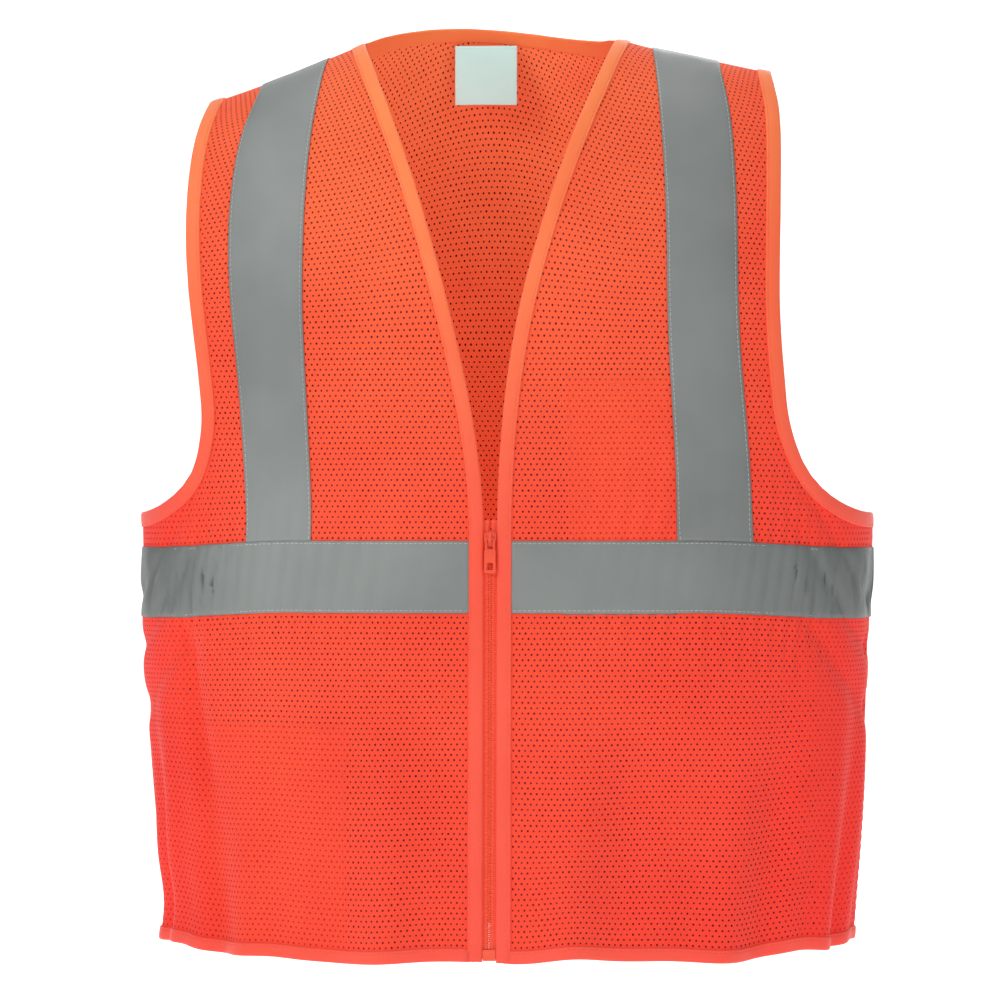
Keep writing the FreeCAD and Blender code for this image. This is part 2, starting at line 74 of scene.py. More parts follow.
# The vest's sizes, as in the CAD model
BODY_LENGTH = 657 * MM
CHEST_HALF = 270 * MM
HEM_HALF = 249 * MM
RIDGE_HALF = 235 * MM
CHEST_H = 430 * MM
FRONT_DEPTH = (120 * MM, 98 * MM)  # at the hem and at the chest
BACK_DEPTH = (112 * MM, 95 * MM)
SQUARENESS = 0.12
SLOPE_LEFT = 0.20
SLOPE_RIGHT = 0.35
NECK_HALF = 92 * MM
NAPE_RISE = 30 * MM
BACK_NECK_RISE = 13 * MM
ARM_HALF = 209 * MM
ARM_BOTTOM_H = 318 * MM
ARM_CORNER = (62 * MM, 75 * MM)
MESH_T = 1.0 * MM
TAPE_T = 0.5 * MM
TAPE_WIDTH = 50.8 * MM
BIND_WIDTH = 10 * MM
HEM_WIDTH = 9 * MM
NECK_BAND_WIDTH = 8.5 * MM
WAIST_H = 244 * MM
SHOULDER_TAPE_X = 154 * MM
SHOULDER_TAPE_LEAN = 13 * MM
ZIP_H = 302 * MM
ZIP_GAP = 5 * MM
ZIP_LEAN = math.atan2(FRONT_DEPTH[0] - FRONT_DEPTH[1], CHEST_H)
ZIP_LAYER = 0.95 * MM  # the zip's middle behind the cloth's inner face
TOOTH_PITCH = 3.0 * MM
NECKLINE_POWER = 1.8
CHEST_POCKET_X = (54 * MM, 127 * MM)
CHEST_POCKET_TOP_H = 409 * MM
LOWER_POCKET_X = -102 * MM  # its inner seam
LOWER_POCKET_TOP_H = 164 * MM
PATCH_SIZE = (7 * MM, 18 * MM)

FRONT, BACK = -1, 1
LEFT, RIGHT = 1, -1  # the wearer's
NAMES = {LEFT: "left", RIGHT: "right"}

rng = np.random.default_rng(7)


# ---- the shape of the vest

def mix(a, b, share):
    return a + (b - a) * share


def smooth(x, low, high):
    """0 below low, 1 above high, and an S between."""
    s = np.clip((x - low) / (high - low), 0, 1)
    return s * s * (3 - 2 * s)


def ridge_height(x):
    r = np.clip(x / NECK_HALF, -1, 1)
    slope = (SLOPE_LEFT + SLOPE_RIGHT) / 2 + r * (SLOPE_LEFT - SLOPE_RIGHT) / 2
    inside = slope * NECK_HALF * (1 - r * r) / 2 + NAPE_RISE * (1 - r * r) ** 2
    return BODY_LENGTH + inside - slope * np.maximum(0, np.abs(x) - NECK_HALF)


def across_share(turn):
    return np.cos(turn) * (1 + SQUARENESS * np.sin(turn) ** 2)


def half_width(rise):
    low = mix(HEM_HALF, CHEST_HALF, np.sin(np.minimum(rise, 1) * HALF_PI))
    high = mix(RIDGE_HALF, CHEST_HALF, np.cos(np.maximum(rise - 1, 0) * HALF_PI))
    return np.where(rise <= 1, low, high)


def plain_surface(side, turn, rise):
    """The CAD model's surface: x, y and h of the cloth's inner face."""
    front = side < 0
    hem = np.where(front, FRONT_DEPTH[0], BACK_DEPTH[0])
    chest = np.where(front, FRONT_DEPTH[1], BACK_DEPTH[1])
    across = across_share(turn)
    deep = np.sin(turn) * (1 + SQUARENESS * np.cos(turn) ** 2)
    angle = np.maximum(rise - 1, 0) * HALF_PI
    low = rise <= 1
    x = half_width(rise) * across
    y = side * deep * np.where(low, mix(hem, chest, rise), chest * np.cos(angle))
    top = ridge_height(RIDGE_HALF * across)
    h = np.where(low, rise * CHEST_H, mix(CHEST_H, top, np.sin(angle)))
    return np.stack([x, y, h], -1)


TURNS = np.linspace(0, math.pi, 2001)


def turn_across(x, rise):
    """Turn of the surface at x and rise."""
    share = np.clip(x / half_width(rise), -1, 1)
    return np.interp(-share, -across_share(TURNS), TURNS)


def locate(x, h):
    """Turn and rise of the surface at x and h."""
    rise = h / CHEST_H
    for _ in range(9):
        turn = turn_across(x, rise)
        top = ridge_height(RIDGE_HALF * across_share(turn))
        up = np.clip((h - CHEST_H) / (top - CHEST_H), 0, 1)
        rise = np.where(h <= CHEST_H, h / CHEST_H, 1 + np.arcsin(up) / HALF_PI)
    return turn, rise


def bump(x, middle, width):
    return np.exp(-((x - middle) / width) ** 2)


# The slanting pulls, in mm: depth, place above the lowest and width
PULLS = ((3.6, 0, 14), (2.8, 52, 10), (2.4, 92, 9))


def drape(side, p, turn):
    """How far the worn cloth stands out from, and is shifted off, the plain surface. In mm inside."""
    x, h = p[..., 0] / MM, p[..., 2] / MM
    front = side < 0
    wide = np.abs(x)
    down = 1 - smooth(h, 0, 240)
    girth = turn * 360 * 2 * math.pi
    waves = 4.2 * np.sin(girth / 155 + 1.2 + side) + 2.4 * np.sin(girth / 83 + 0.4 - side + h * 0.009)
    out = waves * down * np.where(front, smooth(wide, 10, 70), 1)
    body = np.sin(x * 0.031 + h * 0.013 + side) + 0.7 * np.sin(x * 0.017 - h * 0.021 + 2 * side)
    out += 1.7 * body * smooth(h, 0, 150) * (1 - smooth(h, 560, 640)) * smooth(wide, 15, 70)
    # Shallow upright waves at the waist, where the tape gathers the mesh
    waist = bump(h, 268, 62) * smooth(wide, 30, 90) * (1 - smooth(wide, 222, 250))
    out += 0.8 * np.sin(girth / 19 + 4 * np.sin(h * 0.022)) * waist
    # Slanting pulls under the front of each armhole and a deeper fold at the right side
    slant = (h - 215) + (wide - 235) * 1.6
    for depth, above, width in PULLS:
        out -= depth * bump(slant, above, width) * np.where(front, 1.0, 0.6) * smooth(wide, 190, 245)
    reach = smooth(h, 70, 150) * (1 - smooth(h, 215, 250)) * (front & (x < 0))
    out -= 8.0 * bump(x, -232 + (300 - h) * 0.12, 8) * reach
    # Fuller under the waist tape than at it
    out += 2.0 * bump(h, 190, 60) * smooth(wide, 40, 120)
    out += 0.9 * over_pocket(p[..., 0], p[..., 2]) * front
    low = 1 - smooth(h, 300, 480)
    dx = 6.5 * low * smooth(wide, 60, 250) * smooth(h, -350, 150) - 5.0 * (1 - low)
    # The right shoulder edge leans out below its top, and the armholes draw in at their lower corners
    dx -= smooth(-x, 110, 215) * (6.5 * bump(h, 520, 75) - 6.0 * bump(h, 625, 32))
    dx -= np.sign(x) * 3.4 * bump(h, 345, 26) * smooth(wide, 190, 235)
    dx -= 6.0 * smooth(x, 130, 215) * bump(h, 640, 26) + 3.2 * smooth(x, 150, 240) * bump(h, 262, 85)
    dx += smooth(-x, 150, 240) * (2.5 * bump(h, 290, 45) + 5.0 * bump(h, 28, 28))
    dz = (1.5 * np.sin(girth / 190 + 0.6) + 5.0 * smooth(wide, 130, 250)) * down
    dz += 5.0 * bump(x, 58, 26) * (1 - smooth(h, 0, 120)) * front
    dz -= 6.0 * bump(h, 268, 70) * smooth(wide, 140, 265)
    dz -= 3.4 * smooth(-x, 70, 150) * smooth(h, 585, 630)
    dz += 1.4 * bump(x, 96, 14) * smooth(h, 600, 650)
    # The back neck is pulled up on the right and sags on the left
    r = np.clip(x * MM / NECK_HALF, -1, 1)
    dz += (2.2 - 8.0 * r) * (1 - r * r) ** 0.75 * smooth(h, 590, 655) * ~front
    return out * MM, dx * MM, dz * MM


def over_pocket(x, h):
    """1 where a pocket lies behind the front and holds it out a little, 0 elsewhere."""
    def past(value, edge):
        return smooth(value, edge - 3 * MM, edge + 3 * MM)
    x1, x2 = CHEST_POCKET_X
    chest = past(x, x1) * (1 - past(x, x2)) * (1 - past(h, CHEST_POCKET_TOP_H)) * (h > WAIST_H)
    return chest + (1 - past(x, LOWER_POCKET_X)) * (1 - past(h, LOWER_POCKET_TOP_H))


def cross_normal(point_at, side, turn, rise):
    """Unit normals out of a surface, from points beside each point."""
    e = 2e-4
    t1, t2 = np.maximum(turn - e, 0), np.minimum(turn + e, math.pi)
    r1, r2 = np.maximum(rise - e, -0.1), np.minimum(rise + e, 2)
    along = point_at(side, t2, rise) - point_at(side, t1, rise)
    up = point_at(side, turn, r2) - point_at(side, turn, r1)
    n = np.cross(along, up) * np.asarray(side)[..., None]
    n[rise > 1.9995, 1] = 0
    size = np.linalg.norm(n, axis=-1, keepdims=True)
    flat = np.stack([np.cos(turn), 0 * turn, np.ones_like(turn)], -1)
    return np.where(size > 1e-12, n / np.maximum(size, 1e-12), flat)


def worn_surface(side, turn, rise):
    p = plain_surface(side, turn, rise)
    n = cross_normal(plain_surface, side, turn, rise)
    out, dx, dz = drape(np.asarray(side), p, turn)
    # The seams at the sides and shoulders stay shut
    shut = smooth(np.minimum(turn, math.pi - turn), 0.0, 0.05) * smooth(2 - rise, 0.0, 0.06)
    p = p + n * (out * shut)[..., None]
    p[..., 0] += dx
    p[..., 2] += dz
    return p


def cloth(side, turn, rise, out):
    """Points of the worn vest, out metres from the cloth's inner face."""
    side, turn, rise, out = np.broadcast_arrays(side, turn, rise, out)
    side, turn, rise = side * 1.0, turn * 1.0, rise * 1.0
    p = worn_surface(side, turn, rise) + cross_normal(worn_surface, side, turn, rise) * out[..., None]
    p[..., 2] -= BODY_LENGTH
    return p


# ---- outlines in x and h

def neckline_x(h):
    share = np.maximum(0, (h - ZIP_H) / (BODY_LENGTH - ZIP_H))
    return ZIP_GAP + (NECK_HALF - ZIP_GAP) * share ** NECKLINE_POWER


def arm_curve(inset, angle):
    """Points round an armhole's lower corner, from its straight side to the side seam."""
    x = ARM_HALF + ARM_CORNER[0] - (ARM_CORNER[0] + inset) * np.cos(angle)
    h = ARM_BOTTOM_H + ARM_CORNER[1] - (ARM_CORNER[1] + inset) * np.sin(angle)
    return x, h


def inside_arm(x, h, inset):
    """Whether a point is in an armhole that is grown by inset."""
    x = np.abs(x)
    mid_x, mid_h = ARM_HALF + ARM_CORNER[0], ARM_BOTTOM_H + ARM_CORNER[1]
    across, up = (x - mid_x) / (ARM_CORNER[0] + inset), (h - mid_h) / (ARM_CORNER[1] + inset)
    round_part = across ** 2 + up ** 2 < 1
    above = (h > mid_h) & (x > ARM_HALF - inset)
    beside = (x > mid_x) & (h > ARM_BOTTOM_H - inset)
    return above | beside | (round_part & (h <= mid_h))


def back_neck_h(x):
    return BODY_LENGTH + BACK_NECK_RISE * (1 - (x / NECK_HALF) ** 2)


def tape_middle(h):
    share = np.maximum(0, (h - CHEST_H) / (BODY_LENGTH - CHEST_H))
    return SHOULDER_TAPE_X - SHOULDER_TAPE_LEAN * share ** 3


def under_tape(x, h):
    """Whether the tapes hide a point of the cloth, a little inside their edges."""
    margin = 2.5 * MM
    waist = (h > WAIST_H + margin) & (h < WAIST_H + TAPE_WIDTH - margin)
    shoulder = (np.abs(np.abs(x) - tape_middle(h)) < TAPE_WIDTH / 2 - margin) & (h > WAIST_H)
    return waist | shoulder


# ---- mesh making

def placed(name, data):
    ob = bpy.data.objects.new(name, data)
    bpy.context.scene.collection.objects.link(ob)
    return ob


def new_object(name, points, faces, material, smooth_faces=True):
    mesh = bpy.data.meshes.new(name)
    points = np.asarray(points, float).reshape(-1, 3)
    mesh.from_pydata(points.tolist(), [], faces)
    mesh.update()
    if smooth_faces:
        mesh.polygons.foreach_set("use_smooth", [True] * len(mesh.polygons))
    ob = placed(name, mesh)
    ob.data.materials.append(material)
    return ob


def add_uv(ob, name, per_vertex):
    """A UV map from one pair of values for each vertex."""
    me = ob.data
    layer = me.uv_layers.new(name=name)
    index = np.empty(len(me.loops), np.int32)
    me.loops.foreach_get("vertex_index", index)
    layer.uv.foreach_set("vector", np.asarray(per_vertex, np.float32)[index].ravel())


def arc_length(points):
    """Length along each line of points, from 0."""
    steps = np.linalg.norm(np.diff(points, axis=-2), axis=-1)
    return np.insert(np.cumsum(steps, -1), 0, 0, axis=-1)


def loft(name, side, turn, rise, out, material, ring=False):
    """A strip from rows of points. Each row goes once round the strip's section."""
    turn, rise, out = np.broadcast_arrays(turn, rise, out)
    side = np.broadcast_to(np.asarray(side, float).reshape(-1, 1), turn.shape)
    return skin_rows(name, cloth(side, turn, rise, out), material, ring)


def skin_rows(name, points, material, ring=False):
    """A closed skin round rows of points, with a UV map in metres."""
    rows, columns = points.shape[:2]
    index = np.arange(rows * columns).reshape(rows, columns)
    below, above = (index, np.roll(index, -1, 0)) if ring else (index[:-1], index[1:])
    quads = np.stack([below, np.roll(below, -1, 1), np.roll(above, -1, 1), above], -1)
    faces = quads.reshape(-1, 4).tolist()
    if not ring:
        faces += [index[0][::-1].tolist(), index[-1].tolist()]
    ob = new_object(name, points, faces, material)
    v = arc_length(points.swapaxes(0, 1)).mean(0)
    uv = np.stack(np.broadcast_arrays(arc_length(points[rows // 2])[None], v[:, None]), -1)
    add_uv(ob, "cloth", uv.reshape(-1, 2))
    return ob


# ---- materials

def node_material(name):
    mat = bpy.data.materials.new(name)
    mat.use_nodes = True
    tree = mat.node_tree
    return mat, tree, tree.nodes["Principled BSDF"]


def add(tree, kind, **values):
    node = tree.nodes.new(kind)
    for key, value in values.items():
        setattr(node, key, value)
    return node


def link(tree, a, b):
    tree.links.new(a, b)


def set_inputs(node, **values):
    """Inputs are named as the node names them, with _ for a space."""
    for name, value in values.items():
        node.inputs[name.replace("_", " ")].default_value = value


def ramp(tree, source, stops):
    node = add(tree, "ShaderNodeValToRGB")
    elements = node.color_ramp.elements
    while len(elements) < len(stops):
        elements.new(0.5)
    for element, (place, colour) in zip(elements, stops):
        element.position = place
        element.color = (*colour, 1)
    link(tree, source, node.inputs["Fac"])
    return node.outputs["Color"]


def noise(tree, vector, scale, detail=3.0):
    node = add(tree, "ShaderNodeTexNoise")
    set_inputs(node, Scale=scale, Detail=detail)
    link(tree, vector, node.inputs["Vector"])
    return node.outputs["Fac"]


def maths(tree, kind, a, b=None):
    node = add(tree, "ShaderNodeMath", operation=kind)
    for socket, value in zip(node.inputs, (a, b)):
        if value is None:
            continue
        if hasattr(value, "is_linked"):
            link(tree, value, socket)
        else:
            socket.default_value = value
    return node.outputs[0]


def multiply(tree, share, a, b):
    """Colour a times colour b, by share."""
    node = add(tree, "ShaderNodeMix", data_type="RGBA", blend_type="MULTIPLY")
    factor, = [i for i in node.inputs if i.name == "Factor" and i.type == "VALUE"]
    factor.default_value = share
    for socket, value in zip([i for i in node.inputs if i.type == "RGBA"], (a, b)):
        link(tree, value, socket)
    return [o for o in node.outputs if o.type == "RGBA"][0]


def spread(tree, value, **ends):
    """A value mapped to another range."""
    node = add(tree, "ShaderNodeMapRange")
    set_inputs(node, **ends)
    link(tree, value, node.inputs["Value"])
    return node.outputs[0]


def weave(tree, uv, pitch):
    """Height of a plain weave: two sets of ribs that pass over each other."""
    split = add(tree, "ShaderNodeSeparateXYZ")
    link(tree, uv, split.inputs[0])
    turns = 2 * math.pi / pitch
    u = maths(tree, "SINE", maths(tree, "MULTIPLY", split.outputs[0], turns))
    v = maths(tree, "SINE", maths(tree, "MULTIPLY", split.outputs[1], turns))
    return maths(tree, "MULTIPLY", u, v)


def painted_light_and_shade(tree, where, stops):
    """Painted light and shade: colour changes down the vest, from stops for its foot, middle and top, and
    redder to the sides, where painted shade darkens it.
    """
    split = add(tree, "ShaderNodeSeparateXYZ")
    link(tree, where, split.inputs[0])
    height = spread(tree, split.outputs[2], From_Min=-0.62, From_Max=0.0)
    down = ramp(tree, height, list(zip((0.0, 0.45, 0.92), stops[:3])))
    across = spread(tree, split.outputs[0], From_Min=-0.27, From_Max=0.27)
    flank = stops[3]
    part = tuple(1 - (1 - c) * 0.35 for c in flank)
    places = [(0.0, flank), (0.20, (1, 1, 1)), (0.5, (1, 1, 1)), (0.80, part), (1.0, flank)]
    return multiply(tree, 1.0, down, ramp(tree, across, places))


def wear(tree, shader, rough, height, strength, lift):
    """Uneven roughness from values and the scale of their change, and fine relief."""
    low, high, scale = rough
    where = add(tree, "ShaderNodeTexCoord").outputs["Object"]
    link(tree, spread(tree, noise(tree, where, scale), To_Min=low, To_Max=high), shader.inputs["Roughness"])
    relief = add(tree, "ShaderNodeBump")
    set_inputs(relief, Strength=strength, Distance=lift * MM)
    link(tree, height, relief.inputs["Height"])
    link(tree, relief.outputs[0], shader.inputs["Normal"])


def cloth_material(name, colour, dark, light, pitch, rough=0.75, sheen=0.25, lift=0.08, hollow_shade=0.25,
                   specular=0.3, tint=None, glow=0.0):
    """Woven or knitted cloth: weave, slubs, slow colour changes, painted shade in the weave's hollows and a
    soft sheen.
    glow is a constant emission that stands in for the light a fluorescent dye gives back; as it shines in
    shade too, it is also painted light that lifts the shade."""
    mat, tree, shader = node_material(name)
    uv = add(tree, "ShaderNodeUVMap", uv_map="cloth").outputs["UV"]
    where = add(tree, "ShaderNodeTexCoord").outputs["Object"]
    slow = noise(tree, where, 9.0, 3.0)
    base = ramp(tree, slow, [(0.3, dark), (0.5, colour), (0.72, light)])
    # Painted light and shade laid over the cloth's own colour.
    if tint:
        base = multiply(tree, 1.0, base, painted_light_and_shade(tree, where, tint))
    threads = weave(tree, uv, pitch)
    fine = noise(tree, where, 1400.0, 2.0)
    height = maths(tree, "ADD", threads, maths(tree, "MULTIPLY", fine, 1.2))
    # Painted shade: the colour is darker in the weave's hollows.
    hollows = [(0.0, (0.86, 0.84, 0.82)), (0.6, (1, 1, 1))]
    shade = ramp(tree, maths(tree, "MULTIPLY_ADD", height, 0.25), hollows)
    link(tree, multiply(tree, hollow_shade, base, shade), shader.inputs["Base Color"])
    wear(tree, shader, (rough - 0.08, rough + 0.08, 160.0), height, 0.35, lift)
    set_inputs(shader, Specular_IOR_Level=specular, Sheen_Weight=sheen, Sheen_Roughness=0.5)
    if glow:
        set_inputs(shader, Emission_Color=(1.0, 0.035, 0.02, 1), Emission_Strength=glow)
    return mat


ORANGE = (0.82, 0.126, 0.038)
ORANGE_DEEP = (0.79, 0.104, 0.032)
ORANGE_PALE = (0.85, 0.148, 0.044)
# Painted light: a constant glow that stands in for the dye's fluorescence and lifts the shaded sides,
# stronger on the back to light its inner face.
GLOW = 0.11
BACK_GLOW = 0.19
# Painted light and shade, as stops for the foot, middle and top and one for the sides: the fronts and
# bindings are lighter towards the top and darker and redder at the sides, and the back is lifted in its
# middle and top, where its inner face shows in the neck.
FRONT_TINT = ((0.96, 0.44, 0.64), (0.97, 0.56, 0.68), (0.98, 1.04, 0.95), (0.97, 0.40, 0.62))
BACK_TINT = ((0.96, 0.60, 0.80), (1.04, 1.95, 2.4), (1.04, 1.85, 2.1), (0.97, 0.6, 0.8))
BINDING_TINT = ((0.95, 0.50, 0.70), (0.96, 0.60, 0.72), (1.0, 1.45, 0.95), (0.96, 0.75, 0.85))
# Painted shade: the reflective tape is made much darker towards the sides of the vest, where it faces away
# from the light, and a little darker at the waist.
TAPE_TINT = ((1, 1, 1), (0.93, 0.96, 0.95), (1.0, 1.0, 1.0), (0.45, 0.46, 0.45))



def knitted(name, tint, glow):
    return cloth_material(name, ORANGE, ORANGE_DEEP, ORANGE_PALE, 0.55 * MM, sheen=0.1, lift=0.12, tint=tint,
                          glow=glow)


knit = knitted("blaze_orange_knit", FRONT_TINT, GLOW)
back_knit = knitted("blaze_orange_back_knit", BACK_TINT, BACK_GLOW)
pocket_knit = knitted("pocket_knit", FRONT_TINT, GLOW)
binding_cloth = cloth_material(
    "blaze_orange_binding", (0.83, 0.160, 0.066), (0.80, 0.130, 0.052), (0.86, 0.185, 0.080), 0.4 * MM,
    rough=0.55, sheen=0.15, tint=BINDING_TINT, glow=GLOW)
zip_cloth = cloth_material(
    "zip_tape_cloth", (0.82, 0.085, 0.042), (0.78, 0.07, 0.036), (0.85, 0.10, 0.05), 0.5 * MM, rough=0.7,
    glow=GLOW)
tape_cloth = cloth_material(
    "reflective_tape_cloth", (0.235, 0.252, 0.245), (0.200, 0.216, 0.210), (0.270, 0.288, 0.280), 0.32 * MM,
    rough=0.42, sheen=0.0, lift=0.04, hollow_shade=0.2, specular=0.45, tint=TAPE_TINT)
label_cloth = cloth_material(
    "pale_satin_label", (0.61, 0.90, 0.84), (0.57, 0.86, 0.80), (0.65, 0.93, 0.88), 0.25 * MM, rough=0.5)
thread = cloth_material(
    "pale_thread", (0.55, 0.53, 0.48), (0.46, 0.44, 0.40), (0.62, 0.60, 0.55), 0.3 * MM, rough=0.6)
orange_thread = cloth_material(
    "orange_thread", (0.86, 0.11, 0.06), (0.82, 0.08, 0.04), (0.88, 0.14, 0.08), 0.3 * MM, rough=0.6,
    glow=GLOW)


def shade(name, *colours):
    return cloth_material(name, *colours, 0.5 * MM, sheen=0.0, specular=0.0)


# Painted shade: the floors that close the holes, dark where an open hole would show the shaded inside of the
# vest, dim red where it would show cloth behind in shade.
hole_shade = shade("mesh_hole_shade", (0.12, 0.010, 0.022), (0.08, 0.007, 0.016), (0.20, 0.014, 0.030))
warm_shade = shade("mesh_hole_warm_shade", (0.48, 0.022, 0.024), (0.36, 0.018, 0.020), (0.58, 0.030, 0.028))
deep_shade = shade("mesh_hole_deep_shade", (0.05, 0.005, 0.013), (0.035, 0.004, 0.010), (0.08, 0.008, 0.018))


def moulded(name, colour, dark, rough, specular, coat=0.0):
    """Moulded plastic or enamel, with slow random changes of tone and fine surface scatter."""
    mat, tree, shader = node_material(name)
    where = add(tree, "ShaderNodeTexCoord").outputs["Object"]
    slow = noise(tree, where, 220.0, 4.0)
    link(tree, ramp(tree, slow, [(0.25, dark), (0.7, colour)]), shader.inputs["Base Color"])
    wear(tree, shader, (rough - 0.1, rough + 0.12, 900.0), noise(tree, where, 2500.0), 0.15, 0.03)
    set_inputs(shader, Specular_IOR_Level=specular, Coat_Weight=coat)
    return mat


teeth_plastic = moulded("orange_acetal", (0.88, 0.100, 0.04), (0.80, 0.080, 0.033), 0.32, 0.5)
enamel = moulded("orange_enamel", (0.88, 0.09, 0.035), (0.80, 0.07, 0.03), 0.28, 0.5, coat=0.4)


# ---- riding

def fold_blend(piece):
    """A piece of one front stays where it was built, with its place baked into its mesh."""
    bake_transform(piece)


def settle(piece, follows, slot, *nodes):
    """A piece follows a body, or stays where it was built if it belongs to one front, and stands for CAD
    nodes.
    """
    if follows in NAMES:
        fold_blend(piece)
    else:
        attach(piece, follows)
    if nodes:
        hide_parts(*nodes)


# ---- the mesh cloth

HOLE_PITCH = 4.2 * MM
ROW_PITCH = 3.72 * MM
HOLE_R = 0.72 * MM


class Lattice:
    """Even places over the front or the back: u is a share of the girth, v of the height."""

    def __init__(self, side):
        self.side = side
        rises = np.linspace(0, 2, 601)
        turn, _ = locate(np.array([150 * MM]), np.array([CHEST_H]))
        length = arc_length(plain_surface(side, np.full(601, turn[0]), rises))
        self.height = length[-1]
        self.rise_at = lambda v: np.interp(v * self.height, length, rises)
        rows = np.linspace(0, 1, 161)
        row_rise = self.rise_at(rows)
        grid = plain_surface(side, TURNS[None] + 0 * row_rise[:, None], row_rise[:, None] + 0 * TURNS[None])
        arcs = arc_length(grid)
        arcs = arcs - arcs[:, 1000:1001]
        arm = np.searchsorted(row_rise, ARM_BOTTOM_H / CHEST_H)
        half = arcs[:, -1].copy()
        above = np.arange(len(rows)) > arm
        half[above] = half[arm] * half_width(row_rise[above]) / half_width(row_rise[arm])
        self.rows, self.arcs, self.half = rows, arcs, half
        self.width = 2 * half[arm]

    def turn_at(self, u, v):
        """u from 0 at the left side seam to 1 at the right one."""
        at = v * (len(self.rows) - 1)
        low = np.clip(at.astype(int), 0, len(self.rows) - 2)
        result = 0
        for row, weight in ((low, 1 - (at - low)), (low + 1, at - low)):
            turn = np.empty_like(u)
            for k in np.unique(row):
                pick = row == k
                turn[pick] = np.interp((2 * u[pick] - 1) * self.half[k], self.arcs[k], TURNS)
            result = result + turn * weight
        return result


def mesh_cells(lattice, keep, solid, u_range=(0.0, 1.0)):
    """Six-sided cells with six-sided holes, staggered row by row.
    keep and solid take x and h of the cell centres."""
    columns = 2 * int(round(lattice.width / HOLE_PITCH / 2))
    rows = int(round(lattice.height / ROW_PITCH))
    pitch, step = 1 / columns, 1 / rows
    share = (ROW_PITCH ** 2 - HOLE_PITCH ** 2 / 4) / (2 * ROW_PITCH ** 2)
    j, i = np.meshgrid(np.arange(rows + 1), np.arange(columns + 1), indexing="ij")
    key_x = (2 * i + j % 2).ravel()
    key_j = j.ravel()
    low_x, high_x = (round(2 * columns * end) for end in u_range)
    inside = (key_x >= low_x) & (key_x <= high_x)
    key_x, key_j = key_x[inside], key_j[inside]
    u, v = key_x * pitch / 2, key_j * step
    turn = lattice.turn_at(u, np.clip(v, 0, 1))
    rise = lattice.rise_at(np.clip(v, 0, 1))
    p = plain_surface(lattice.side, turn, rise)
    kept = keep(p[:, 0], p[:, 2])
    key_x, key_j, p = key_x[kept], key_j[kept], p[kept]
    plain = solid(p[:, 0], p[:, 2])
    plain = plain | (key_x - 1 < low_x) | (key_x + 1 > high_x) | (key_j == 0) | (key_j == rows)
    around = [(1, 1), (0, 2), (-1, 1), (-1, 0), (0, -1), (1, 0)]
    corner_x = np.clip(np.stack([key_x + a for a, _ in around], -1), low_x, high_x)
    corner_l = np.stack([2 * key_j + b for _, b in around], -1)
    spread = 4 * columns + 8
    code = corner_x + spread * (corner_l + 4)
    unique, index = np.unique(code.ravel(), return_inverse=True)
    index = index.reshape(code.shape)
    cx, level = unique % spread, unique // spread - 4
    row = level // 2
    cv = np.clip((row + np.where(level % 2 == 1, share, -share)) * step, 0, 1)
    cu = cx * pitch / 2
    # Holes: a ring of points round each centre
    holed = ~plain
    angle = np.pi / 6 + np.arange(6) * np.pi / 3
    size = HOLE_R * rng.uniform(0.86, 1.12, holed.sum())[:, None]
    hu = (key_x[holed, None] * pitch / 2) + size * np.cos(angle) / lattice.width
    hv = key_j[holed, None] * step + 1.12 * size * np.sin(angle) / lattice.height
    first = len(unique)
    ring = first + np.arange(holed.sum() * 6).reshape(-1, 6)
    outer = index[holed]
    quads = np.stack([outer, np.roll(outer, -1, 1), np.roll(ring, -1, 1), ring], -1).reshape(-1, 4)
    floors = len(quads)
    # Each hole is closed by a floor face, which carries painted shade.
    faces = quads.tolist() + ring.tolist()
    loops = (list(dict.fromkeys(corners.tolist())) for corners in index[plain])
    faces += [loop for loop in loops if len(loop) > 2]
    all_u = np.concatenate([cu, hu.ravel()])
    all_v = np.concatenate([cv, hv.ravel()])
    raised = np.concatenate([np.ones(first), np.zeros(hu.size)])
    return all_u, all_v, raised, faces, range(floors, floors + len(ring))


CLOTH_LEVEL = 0.55 * MM
CLOTH_RELIEF = 0.3 * MM  # from a hole's floor to the cloth's face
U_RANGE = {LEFT: (0.0, 0.5), RIGHT: (0.5, 1.0)}


def warm_holes(x, h):
    """Holes whose floors get a warmer, dim red painted shade, more orange than dark, for cloth seen through
    them in shade: over the pockets and beside the side seams.
    """
    beside = np.abs(x) + rng.normal(size=x.shape) * 7 * MM > 214 * MM
    return beside | (over_pocket(x, h) > 0.5)


def mesh_panel(name, side, keep, solid, materials, level, u_range=(0.0, 1.0)):
    """materials are the cloth's, and those of the shade in most holes and in the others."""
    lattice = Lattice(side)
    u, v, raised, faces, floors = mesh_cells(lattice, keep, solid, u_range)
    turn, rise = lattice.turn_at(u, v), lattice.rise_at(v)
    points = cloth(side, turn, rise, level + CLOTH_RELIEF * (raised - 0.5))
    if side > 0:
        faces = [f[::-1] for f in faces]
    ob = new_object(name, plain_surface(side, turn, rise), faces, materials[0])
    ob.data.vertices.foreach_set("co", points.astype(np.float32).ravel())
    ob.data.update()
    slots = np.zeros(len(faces), np.int32)
    slots[list(floors)] = 1
    for shade_material in materials[1:]:
        ob.data.materials.append(shade_material)
    if len(materials) > 2:
        first = np.array([faces[k][0] for k in floors])
        place = plain_surface(side, turn[first], rise[first])
        slots[list(floors)] += warm_holes(place[:, 0], place[:, 2])
    ob.data.polygons.foreach_set("material_index", slots)
    add_uv(ob, "cloth", np.stack([u * lattice.width, v * lattice.height], -1))
    low, high = u.min(), u.max()
    add_uv(ob, "OFBake", np.stack([0.01 + 0.98 * (u - low) / (high - low), 0.01 + 0.98 * v], -1))
    return ob


TUCK = 4 * MM  # how far the cloth runs in under each binding


